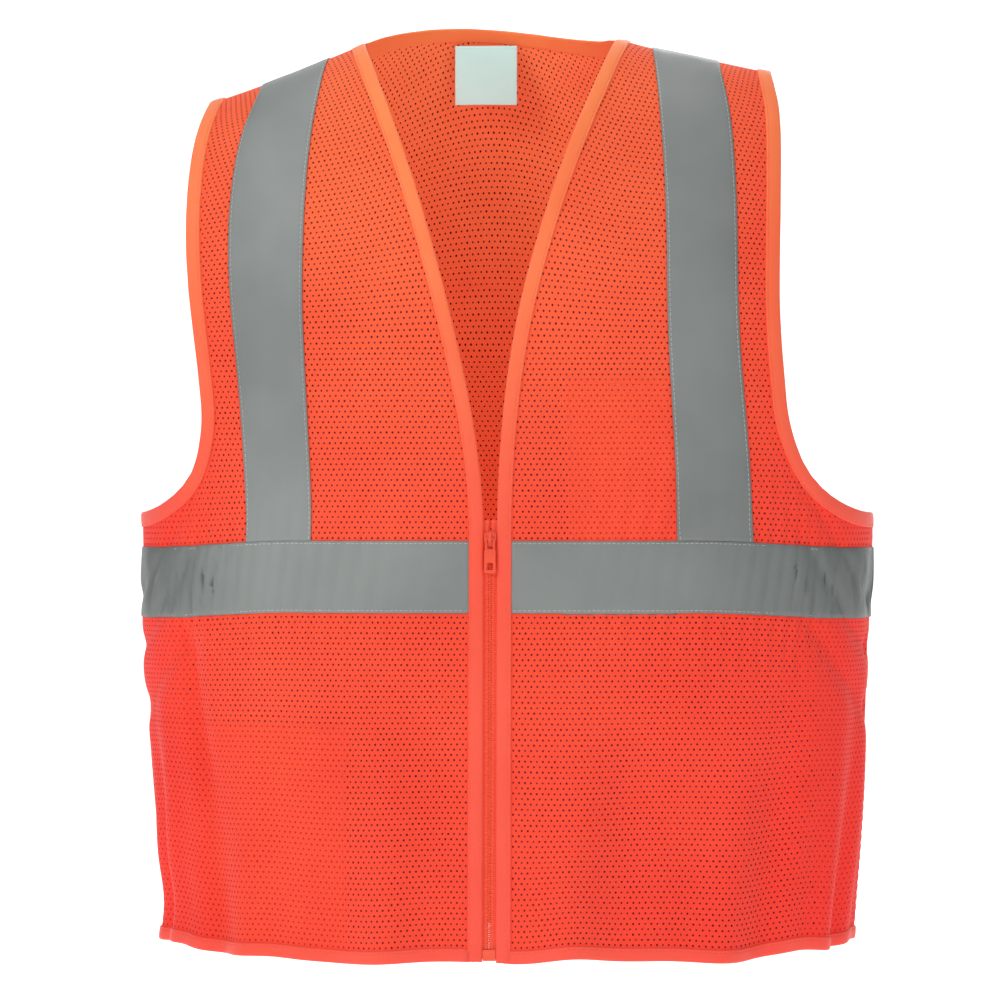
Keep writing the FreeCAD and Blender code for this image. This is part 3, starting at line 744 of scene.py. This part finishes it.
def back_keep(x, h):
    above_neck = (np.abs(x) < NECK_HALF) & (h >= back_neck_h(x) - NECK_BAND_WIDTH + TUCK)
    return ~inside_arm(x, h, BIND_WIDTH - TUCK) & ~above_neck


def front_keep(hand):
    def keep(x, h):
        own = x * hand > neckline_x(h) + BIND_WIDTH - TUCK
        return own & ~inside_arm(x, h, BIND_WIDTH - TUCK)
    return keep


def make_cloth():
    """The back is two pieces, which meet where the waist tape hides them."""
    meeting = WAIST_H + TAPE_WIDTH / 2
    halves = {"back_cloth_upper": lambda x, h: back_keep(x, h) & (h > meeting),
              "back_cloth_lower": lambda x, h: back_keep(x, h) & (h <= meeting)}
    for name, keep in halves.items():
        back = mesh_panel(name, BACK, keep, under_tape, (back_knit, deep_shade), CLOTH_LEVEL)
        settle(back, "root", "mesh_fabric", "back_panel")
    for hand, name in NAMES.items():
        front = mesh_panel(name + "_front_cloth", FRONT, front_keep(hand), under_tape,
                           (knit, hole_shade, warm_shade), CLOTH_LEVEL, U_RANGE[hand])
        settle(front, hand, "mesh_fabric", name + "_front_panel", name + "_front_panel_side")


# ---- tapes and bindings

def flat_section(steps, low, high):
    """Places across a thin strip and their heights, once round its section."""
    edge = 0.012
    rim = mix(low, high, 0.6)
    across = np.concatenate([[0.0], np.linspace(edge, 1 - edge, steps), [1.0]])
    out = np.concatenate([[rim], np.full(steps, high), [rim], np.full(steps, low)])
    return np.concatenate([across, across[-2:0:-1]]), out


TAPE_LOW = MESH_T - 0.05 * MM
TAPE_HIGH = MESH_T + TAPE_T + 0.1 * MM


def crinkle(shape, amount, reach):
    """Smooth random heights, with the same seed on every run."""
    grid = rng.normal(size=[max(count // reach, 3) for count in shape])
    for count in shape:  # along the rows, then along the columns
        at = np.linspace(0, len(grid) - 1, count)
        low = np.minimum(at.astype(int), len(grid) - 2)
        share = smooth(at - low, 0, 1)[:, None]
        grid = (grid[low] * (1 - share) + grid[low + 1] * share).T
    return amount * grid


# Place from the side seam in radians, slant over the tape's width, and depth
CREASES = ((0.34, 0.09, 1.1 * MM), (0.44, 0.12, 1.5 * MM), (0.53, 0.11, 1.4 * MM), (0.645, 0.0, 1.6 * MM))


def tape_section(steps):
    """Places across a tape, heights round its section, its outer points, and how far each may puff out."""
    across, out = flat_section(steps, TAPE_LOW, TAPE_HIGH)
    outside = (out > MESH_T + 0.3 * MM)[None]
    return across, out, outside, np.sin(np.pi * across)[None] * outside


def waist_strip(name, side, turn_from, turn_to):
    steps = int(abs(turn_to - turn_from) / math.pi * 0.62 / (3 * MM))
    turn = np.linspace(turn_from, turn_to, steps)[:, None]
    across, out, outside, belly = tape_section(15)
    rise = (WAIST_H + across[None] * TAPE_WIDTH) / CHEST_H
    puff = np.abs(crinkle((steps, len(across)), 0.34 * MM, 5)) * belly
    ripple = np.sin(turn * 27 + 1.5 * np.sin(turn * 9) + 0.5 * across[None])
    puff += 0.6 * MM * (1 + ripple) * belly
    # Gathered before the side seam. The tape stands out round its creases, so that none reaches the cloth
    beside = np.minimum(turn, math.pi - turn)
    creases = 1.4 * MM * smooth(beside, 0.10, 0.30) * (1 - smooth(beside, 0.72, 0.95)) * outside
    for place, slant, depth in CREASES:
        creases = creases - depth * bump(beside, place + slant * across[None], 0.013) * outside
    # Flat where it runs in under the front bindings
    x = np.abs(half_width(rise) * across_share(turn))
    tucked = (1 - smooth(x, ZIP_GAP + BIND_WIDTH, ZIP_GAP + BIND_WIDTH + 9 * MM)) * (side < 0)
    puff = (puff + creases * np.sin(np.pi * across)[None] ** 0.3) * (1 - tucked) - 0.3 * MM * tucked * outside
    return loft(name, side, turn + 0 * rise, rise + 0 * turn, out[None] + puff, tape_cloth)


def shoulder_strip(hand):
    across, out, _, belly = tape_section(13)
    foot = (WAIST_H + TAPE_WIDTH) / CHEST_H
    up = np.concatenate([np.linspace(foot, 1, 50)[:-1], np.linspace(1, 2, 78)])
    rise = np.concatenate([up, up[::-1][1:]])
    side = np.concatenate([np.full(len(up), FRONT), np.full(len(up) - 1, BACK)])
    typical = plain_surface(side, np.full(len(rise), 0.95), rise)[:, 2]
    x = hand * tape_middle(typical)[:, None] + (across[None] - 0.5) * TAPE_WIDTH
    rise = rise[:, None] + 0 * x
    puff = np.abs(crinkle(x.shape, 0.34 * MM, 6)) * belly
    name = NAMES[hand] + "_shoulder_tape"
    ob = loft(name + "_cloth", side, turn_across(x, rise), rise, out[None] + puff, tape_cloth)
    settle(ob, "root", "reflective_tape", name)


def seam_turn(hand):
    """Turn of the side seam on the front."""
    return 0.0 if hand > 0 else math.pi


def front_turn(hand, x, h):
    """Turn of the front at a distance from the zip's middle."""
    turn, _ = locate(np.array([hand * x]), np.array([h]))
    return turn[0]


def make_tapes():
    back = waist_strip("back_waist_tape_cloth", BACK, 0, math.pi)
    settle(back, "root", "reflective_tape", "back_waist_tape")
    for hand, name in NAMES.items():
        start = front_turn(hand, ZIP_GAP + BIND_WIDTH - 2 * MM, WAIST_H)
        tape = waist_strip(name + "_waist_tape_cloth", FRONT, start, seam_turn(hand))
        settle(tape, hand, "reflective_tape", name + "_waist_tape", name + "_waist_tape_side")
        shoulder_strip(hand)


# A folded binding's section: share of its width from the free edge, and height
BINDING_SECTION = np.array([
    (1.00, 1.02), (0.985, 1.62), (0.93, 1.95), (0.88, 1.92), (0.84, 1.66), (0.80, 1.92), (0.70, 2.08),
    (0.50, 2.12), (0.30, 2.10), (0.12, 2.00), (0.03, 1.68), (-0.02, 1.10), (-0.03, 0.55), (-0.02, 0.05),
    (0.03, -0.35), (0.12, -0.58), (0.30, -0.62), (0.50, -0.62), (0.70, -0.60), (0.84, -0.48), (0.93, -0.55),
    (0.985, -0.30), (1.00, 0.0),
])
STITCH_SHARE = 0.84


def binding_loft(name, side, place, width, ring=False):
    """place(across) gives turn and rise, each rows by points, at a distance in from the free edge."""
    turn, rise = place(BINDING_SECTION[:, 0] * width)
    out = BINDING_SECTION[:, 1] * MM + crinkle(turn.shape, 0.10 * MM, 3)
    return loft(name, side, turn, rise, out, binding_cloth, ring)


def beside_neckline(hand, h, inset):
    """x and h of the points inset from the neckline's edge."""
    slope = (neckline_x(h + MM) - neckline_x(h)) / MM
    long = np.hypot(1, slope)
    return hand * (neckline_x(h) + inset / long), h - inset * (slope / long)


def neckline_place(hand):
    low = np.linspace(0.3 * MM, ZIP_H, 90)[:-1]
    h = np.concatenate([low, np.linspace(ZIP_H, BODY_LENGTH + 1 * MM, 130)])[:, None]
    return lambda across: locate(*beside_neckline(hand, h, across[None]))


def arm_place(hand):
    """Down the straight side by rise, round the corner by angle, and back up the other side."""
    up = np.linspace(2, (ARM_BOTTOM_H + ARM_CORNER[1]) / CHEST_H, 90)[:, None]
    angle = np.linspace(0, HALF_PI, 46)[1:, None]

    def place(across):
        turn = turn_across(hand * (ARM_HALF - across[None]) + 0 * up, up)
        x, h = arm_curve(across[None], angle)
        half = zip((turn, up + 0 * turn), locate(hand * x, h))
        return [np.concatenate([straight, low, low[-2::-1], straight[:0:-1]]) for straight, low in half]
    count = len(up) + len(angle)
    side = np.concatenate([np.full(count, FRONT), np.full(count - 2, BACK)])
    return side, place


def hem_place(turn_from, turn_to, rows):
    turns = np.linspace(turn_from, turn_to, rows)[:, None]

    def place(across):
        rise = across[None] / CHEST_H + 0 * turns
        return turns + 0 * rise, rise
    return place


def back_neck_place(across):
    x = np.linspace(NECK_HALF + 1 * MM, -NECK_HALF - 1 * MM, 90)[:, None]
    h = back_neck_h(np.clip(x, -NECK_HALF, NECK_HALF)) - across[None]
    return locate(x + 0 * h, h)


def make_bindings():
    for hand, name in NAMES.items():
        edge = binding_loft(name + "_front_binding_cloth", FRONT, neckline_place(hand), BIND_WIDTH)
        settle(edge, hand, "binding", name + "_front_binding")
        side, place = arm_place(hand)
        arm = binding_loft(name + "_armhole_binding_cloth", side, place, BIND_WIDTH, ring=True)
        settle(arm, "root", "binding", name + "_armhole_binding")
        place = hem_place(front_turn(hand, ZIP_GAP + BIND_WIDTH - 1 * MM, 0.0), seam_turn(hand), 110)
        hem = binding_loft(name + "_hem_cloth", FRONT, place, HEM_WIDTH)
        settle(hem, hand, "binding", name + "_front_hem")
    hem = binding_loft("back_hem_cloth", BACK, hem_place(0, math.pi, 210), HEM_WIDTH)
    settle(hem, "root", "binding", "hem_binding")
    neck = binding_loft("back_neck_binding_cloth", BACK, back_neck_place, NECK_BAND_WIDTH)
    settle(neck, "root", "binding", "back_neck_binding")


# ---- pockets inside the fronts

POCKET_OUT = -1.1 * MM  # the pocket cloth's place inside the mesh


def within(x1, x2, h1, h2, inside=True):
    """A test for points in a window of the front, or outside it."""
    return lambda x, h: ((x > x1) & (x < x2) & (h > h1) & (h < h2)) == inside


def make_pockets():
    """Each pocket is mesh with a plain hem along its seams and its mouth."""
    x1, x2 = CHEST_POCKET_X
    top, low_top, seam = CHEST_POCKET_TOP_H, LOWER_POCKET_TOP_H, LOWER_POCKET_X

    in_chest = within(x1, x2, WAIST_H + TAPE_WIDTH, top)
    in_lower = within(-1, seam, HEM_WIDTH, low_top)
    chest_solid = within(x1 + 4 * MM, x2 - 4 * MM, 0, top - 5 * MM, False)
    lower_solid = within(-1, seam - 5 * MM, 0, low_top - 6 * MM, False)
    materials = (pocket_knit, warm_shade)
    chest = mesh_panel("chest_pocket_cloth", FRONT, in_chest, chest_solid, materials, POCKET_OUT,
                       U_RANGE[LEFT])
    settle(chest, LEFT, "pocket_fabric", "chest_pocket")
    lower = mesh_panel("lower_pocket_cloth", FRONT, in_lower, lower_solid, materials, POCKET_OUT,
                       U_RANGE[RIGHT])
    settle(lower, RIGHT, "pocket_fabric", "lower_pocket", "lower_pocket_side")
    width, height = PATCH_SIZE
    patch = flat_patch("pocket_patch", seam - width, seam, low_top - height, low_top, POCKET_OUT - 1.1 * MM)
    settle(patch, RIGHT, "pocket_fabric", "pocket_reinforcement")


def flat_patch(name, x1, x2, h1, h2, out):
    """A small closed patch of cloth that follows the front."""
    across, level = flat_section(7, out, out + 0.6 * MM)
    h, x = np.meshgrid(np.linspace(h1, h2, 12), x1 + across * (x2 - x1), indexing="ij")
    turn, rise = locate(x, h)
    return loft(name, FRONT, turn, rise, level[None], pocket_knit)


# ---- stitches

def unit(vectors):
    return vectors / np.linalg.norm(vectors, axis=-1, keepdims=True)


def stitches(name, runs, out, material, radius, length=2.6 * MM, gap=0.9 * MM):
    """Short rounded dashes along each run, which is a side and a path over the cloth."""
    points, faces, first = [], [], 0
    for side, x, h in runs:
        turn, rise = locate(x, h)
        base = cloth(side, turn, rise, out)
        top = cloth(side, turn, rise, out + 1 * MM) - base
        arc = arc_length(base)
        starts = np.arange(gap, arc[-1] - length, length + gap)
        at = starts[:, None] + length * np.array([0.0, 0.12, 0.5, 0.88, 1.0])[None]
        at = at + rng.uniform(-0.12, 0.12, len(starts))[:, None] * MM
        centre, up = (np.stack([np.interp(at, arc, path[:, k]) for k in range(3)], -1)
                      for path in (base, top))
        up = unit(up)
        across = unit(np.cross(unit(np.gradient(centre, axis=1)), up))
        size = radius * np.array([0.35, 0.9, 1.0, 0.9, 0.35])[None, :, None]
        lift = radius * np.array([-0.9, 0.3, 0.55, 0.3, -0.9])[None, :, None]
        centre = centre + up * lift
        angles = np.arange(6) * math.pi / 3
        block = np.stack([centre + size * (math.cos(a) * across + math.sin(a) * up) for a in angles], 2)
        index = first + np.arange(block[..., 0].size).reshape(block.shape[:3])
        turned = np.roll(index, -1, 2)
        quads = np.stack([index[:, :-1], turned[:, :-1], turned[:, 1:], index[:, 1:]], -1)
        faces += quads.reshape(-1, 4).tolist()
        faces += index[:, 0, ::-1].reshape(-1, 6).tolist()
        faces += index[:, -1].reshape(-1, 6).tolist()
        points.append(block.reshape(-1, 3))
        first += len(points[-1])
    points = np.concatenate(points)
    ob = new_object(name, points, faces, material)
    add_uv(ob, "cloth", points[:, [0, 2]])
    return ob


def line(x1, h1, x2, h2, steps=60):
    return FRONT, np.linspace(x1, x2, steps), np.linspace(h1, h2, steps)


def girth_line(side, h, turn_from, turn_to, steps=200):
    """A level line round the front or back, given by turns."""
    p = plain_surface(side, np.linspace(turn_from, turn_to, steps), np.full(steps, h / CHEST_H))
    return side, p[:, 0], p[:, 2]


STITCH_IN = 1.9 * MM  # tape edge to its stitching
SEAM_GAP = 0.03  # radians that the stitches stop short of a side seam


def waist_lines(side, *turns):
    return [girth_line(side, h, *turns) for h in (WAIST_H + STITCH_IN, WAIST_H + TAPE_WIDTH - STITCH_IN)]


def shoulder_lines(side, hand):
    h = np.linspace(WAIST_H + TAPE_WIDTH, 640 * MM, 150)
    return [(side, hand * tape_middle(h) + edge * (TAPE_WIDTH / 2 - STITCH_IN), h) for edge in (-1, 1)]


def armhole_lines(side, hand):
    inset = STITCH_SHARE * BIND_WIDTH
    x, low = arm_curve(inset, np.linspace(0, HALF_PI, 60))
    h = np.linspace(ARM_BOTTOM_H + ARM_CORNER[1], 630 * MM, 120)
    return [(side, hand * x, low), (side, hand * (ARM_HALF - inset) + 0 * h, h)]


def pocket_lines(hand):
    if hand == RIGHT:
        x = LOWER_POCKET_X - 3 * MM
        return [line(x, HEM_WIDTH, x, LOWER_POCKET_TOP_H)]
    x, top = CHEST_POCKET_X[0] + 3 * MM, CHEST_POCKET_TOP_H
    return [line(x, WAIST_H + TAPE_WIDTH + 1 * MM, x, top),
            line(x, top - 3 * MM, CHEST_POCKET_X[1], top - 6 * MM)]


def tape_stitches(name, runs):
    return stitches(name, runs, TAPE_HIGH + 0.05 * MM, thread, 0.2 * MM)


def orange_stitches(name, runs, out=1.68 * MM):
    return stitches(name, runs, out, orange_thread, 0.17 * MM)


def make_stitches():
    around = (SEAM_GAP, math.pi - SEAM_GAP, 400)
    body = waist_lines(BACK, *around)
    rim = []
    for hand in (LEFT, RIGHT):
        for side in (FRONT, BACK):
            body += shoulder_lines(side, hand)
            rim += armhole_lines(side, hand)
    settle(tape_stitches("tape_thread", body), "root", "binding")
    x = np.linspace(-NECK_HALF + 5 * MM, NECK_HALF - 5 * MM, 120)
    rim.append((BACK, x, back_neck_h(x) - STITCH_SHARE * NECK_BAND_WIDTH))
    rim.append(girth_line(BACK, STITCH_SHARE * HEM_WIDTH, *around))
    settle(orange_stitches("rim_thread", rim), "root", "binding")
    for hand, name in NAMES.items():
        start = front_turn(hand, ZIP_GAP + BIND_WIDTH, WAIST_H)
        end = abs(seam_turn(hand) - SEAM_GAP)
        settle(tape_stitches(name + "_waist_thread", waist_lines(FRONT, start, end)), hand, "binding")
        h = np.linspace(12 * MM, BODY_LENGTH - 6 * MM, 160)
        runs = [(FRONT, *beside_neckline(hand, h, STITCH_SHARE * BIND_WIDTH)),
                girth_line(FRONT, STITCH_SHARE * HEM_WIDTH, start, end)]
        settle(orange_stitches(name + "_edge_thread", runs), hand, "binding")
        seam = orange_stitches(name + "_pocket_thread", pocket_lines(hand), 0.75 * MM)
        settle(seam, hand, "binding")


# ---- zip and label

def finish_nodes(nodes, material):
    """CAD nodes that stay as they are, with their final material."""
    for node in nodes:
        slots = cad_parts[node].data.materials
        slots.clear()
        slots.append(material)


def on_zip(points):
    """Points given across, in front of and up the zip, placed on the vest."""
    x, y, h = np.moveaxis(np.asarray(points, float), -1, 0)
    c, n = math.cos(ZIP_LEAN), math.sin(ZIP_LEAN)
    return np.stack([x, y * c + h * n - FRONT_DEPTH[0] + ZIP_LAYER * c, h * c - y * n - BODY_LENGTH], -1)


# A tooth seen from the front: distance past the zip's middle, and half its height there
TOOTH_OUTLINE = ((-3.3, 0.62), (-1.9, 0.62), (-1.5, 0.40), (-0.95, 0.40), (-0.45, 0.66), (0.35, 0.69),
                 (0.75, 0.60), (0.95, 0.3))
TOOTH_LAYERS = ((-1.3, 0.45), (-0.80, 1.0), (0.80, 1.0), (1.3, 0.45))  # depth, and share of the outline


def tooth_points():
    """Rows of points round one moulded tooth of the right row, in mm."""
    outline = np.array([*TOOTH_OUTLINE, *((x, -z) for x, z in reversed(TOOTH_OUTLINE))])
    middle = np.array([-1.2, 0.0])
    rows = []
    for depth, share in TOOTH_LAYERS:
        flat = middle + (outline - middle) * (share if share == 1 else np.array([0.95, share]))
        rows.append(np.insert(flat, 1, depth, axis=1))
    return np.array(rows)


def tooth_row(hand, foot, top):
    """Teeth that pass the middle of the zip, so that the two rows lock. foot and top are heights."""
    rows = tooth_points() * MM
    rows[..., 0] *= -hand
    count, around = rows.shape[:2]
    index = np.arange(count * around).reshape(count, around)
    quads = np.stack([index[:-1], np.roll(index[:-1], -1, 1), np.roll(index[1:], -1, 1), index[1:]], -1)
    one = quads.reshape(-1, 4).tolist() + [index[0][::-1].tolist(), index[-1].tolist()]
    if hand > 0:
        one = [q[::-1] for q in one]
    points, faces = [], []
    for k, h in enumerate(np.arange(foot + (TOOTH_PITCH / 2 if hand > 0 else 0), top, TOOTH_PITCH)):
        points.append(on_zip(rows.reshape(-1, 3) + np.array([0, 0, h])))
        faces += [[v + k * count * around for v in q] for q in one]
    name = NAMES[hand]
    ob = new_object(name + "_zip_teeth_moulded", np.concatenate(points), faces, teeth_plastic, False)
    settle(ob, name + "_front", "zip_teeth", name + "_zip_teeth")


def zip_tape_strip(hand):
    """Woven tape with the corded edge that the teeth are moulded on."""
    name = NAMES[hand]
    face = ((15.0, 0.35), (4.2, 0.35), (3.0, 0.42), (2.4, 0.75), (1.2, 0.70), (0.8, 0.0))
    section = np.array([*((x, -y) for x, y in face), *face[-2::-1]]) * MM
    low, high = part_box(name + "_zip_tape")
    h = np.linspace(low.z + BODY_LENGTH + 1 * MM, high.z + BODY_LENGTH, 160)[:, None]
    x = hand * section[:, 0] + 0 * h
    points = on_zip(np.stack([x, section[:, 1] + 0 * h, h + 0 * x], -1))
    ob = skin_rows(name + "_zip_tape_cloth", points[:, ::-hand], zip_cloth)
    settle(ob, name + "_front", "zip_tape", name + "_zip_tape")


def make_zip():
    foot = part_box("retainer_box")[1].z + BODY_LENGTH + 0.75 * MM
    low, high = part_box("zip_slider")
    for hand in NAMES:
        tooth_row(hand, foot, (low.z + high.z) / 2 + BODY_LENGTH)
        zip_tape_strip(hand)
    finish_nodes(("left_top_stop", "right_top_stop", "retainer_box", "insertion_pin"), teeth_plastic)
    finish_nodes(("zip_slider", "pull_tab"), enamel)


def make_label():
    low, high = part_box("neck_label")
    rows, columns = 60, 40
    u, v = np.meshgrid(np.linspace(0, 1, columns), np.linspace(0, 1, rows))
    belly = 1.6 * MM * np.sin(math.pi * u) + 0.4 * MM * np.sin(5 * u + 3 * v)
    y = low.y - 0.1 * MM - belly * (1 - v) ** 0.7
    front = np.stack([low.x + u * (high.x - low.x), y, low.z + v * (high.z - low.z)], -1).reshape(-1, 3)
    points = np.concatenate([front, front + np.array([0, 0.35 * MM, 0])])
    index = np.arange(rows * columns).reshape(rows, columns)
    quads = np.stack([index[:-1, :-1], index[:-1, 1:], index[1:, 1:], index[1:, :-1]], -1).reshape(-1, 4)
    border = np.concatenate([index[0, :-1], index[:-1, -1], index[-1, :0:-1], index[:0:-1, 0]])
    following = np.roll(border, -1)
    rim = np.stack([following, border, border + rows * columns, following + rows * columns], -1)
    faces = np.concatenate([quads, quads[:, ::-1] + rows * columns, rim]).tolist()
    label = new_object("neck_label_cloth", points, faces, label_cloth)
    add_uv(label, "cloth", points[:, [0, 2]])
    settle(label, "label", "label", "neck_label")


make_cloth()
make_tapes()
make_bindings()
make_pockets()
make_stitches()
make_zip()
make_label()


# ---- floor, light and camera

def make_stage():
    floor_z = cad_box[0].z - 0.12
    profile = [(-4.0, 0.0)]
    for angle in np.linspace(0, HALF_PI, 17):
        profile.append((3.6 + 1.0 * math.sin(angle), 1.0 - 1.0 * math.cos(angle)))
    profile.append((4.6, 5.0))
    points = [(x, y, z + floor_z) for y, z in profile for x in (-5.0, 5.0)]
    faces = [(2 * i, 2 * i + 1, 2 * i + 3, 2 * i + 2) for i in range(len(profile) - 1)]
    pale, _, shader = node_material("pale_floor")
    set_inputs(shader, Base_Color=(0.93, 0.93, 0.93, 1), Roughness=0.9, Specular_IOR_Level=0.1,
               Emission_Color=(1, 1, 1, 1), Emission_Strength=0.6)
    stage = new_object("floor_sweep", points, faces, pale)


def area_light(name, place, target, size, power):
    data = bpy.data.lights.new(name, "AREA")
    data.shape = "RECTANGLE"
    data.size = data.size_y = size
    data.energy = power
    ob = placed(name, data)
    ob.location = place
    ob.rotation_euler = (Vector(target) - Vector(place)).to_track_quat("-Z", "Y").to_euler()


def make_lights():
    middle = (0, 0, -0.33)
    area_light("key", (-1.9, -2.0, 1.3), middle, 1.2, 31)
    area_light("fill", (1.5, -2.4, 0.4), middle, 1.8, 10)
    area_light("top", (0, -0.2, 1.6), (0, 0.05, 0), 1.4, 13)
    area_light("back", (0.4, 2.0, 1.3), middle, 1.6, 16)
    world = bpy.data.worlds.new("studio")
    world.use_nodes = True
    set_inputs(world.node_tree.nodes["Background"], Color=(1, 1, 1, 1), Strength=0.36)
    bpy.context.scene.world = world
    bpy.context.scene.view_settings.view_transform = "Standard"


CAMERA_DISTANCE = 2.6
CAMERA_HEIGHT = -333.4 * MM
CAMERA_AZIMUTH = math.radians(3)
ZIP_DEPTH = 107 * MM  # the zip's line in front of the vest's middle
ZIP_ASIDE = -0.0028  # radians between the zip and the middle of the view
FOCAL = 128.0  # mm, on a 36 mm sensor


def make_camera():
    data = bpy.data.cameras.new("camera")
    data.sensor_width = 36
    data.lens = FOCAL
    camera = placed("camera", data)
    across, along = math.sin(CAMERA_AZIMUTH), math.cos(CAMERA_AZIMUTH)
    camera.location = (CAMERA_DISTANCE * across, -CAMERA_DISTANCE * along, CAMERA_HEIGHT)
    to_zip = Vector((-CAMERA_DISTANCE * across, CAMERA_DISTANCE * along - ZIP_DEPTH))
    turn = math.atan2(-to_zip.x, to_zip.y) + ZIP_ASIDE
    camera.rotation_euler = (HALF_PI, 0, turn)
    bpy.context.scene.camera = camera


make_stage()
make_lights()
make_camera()
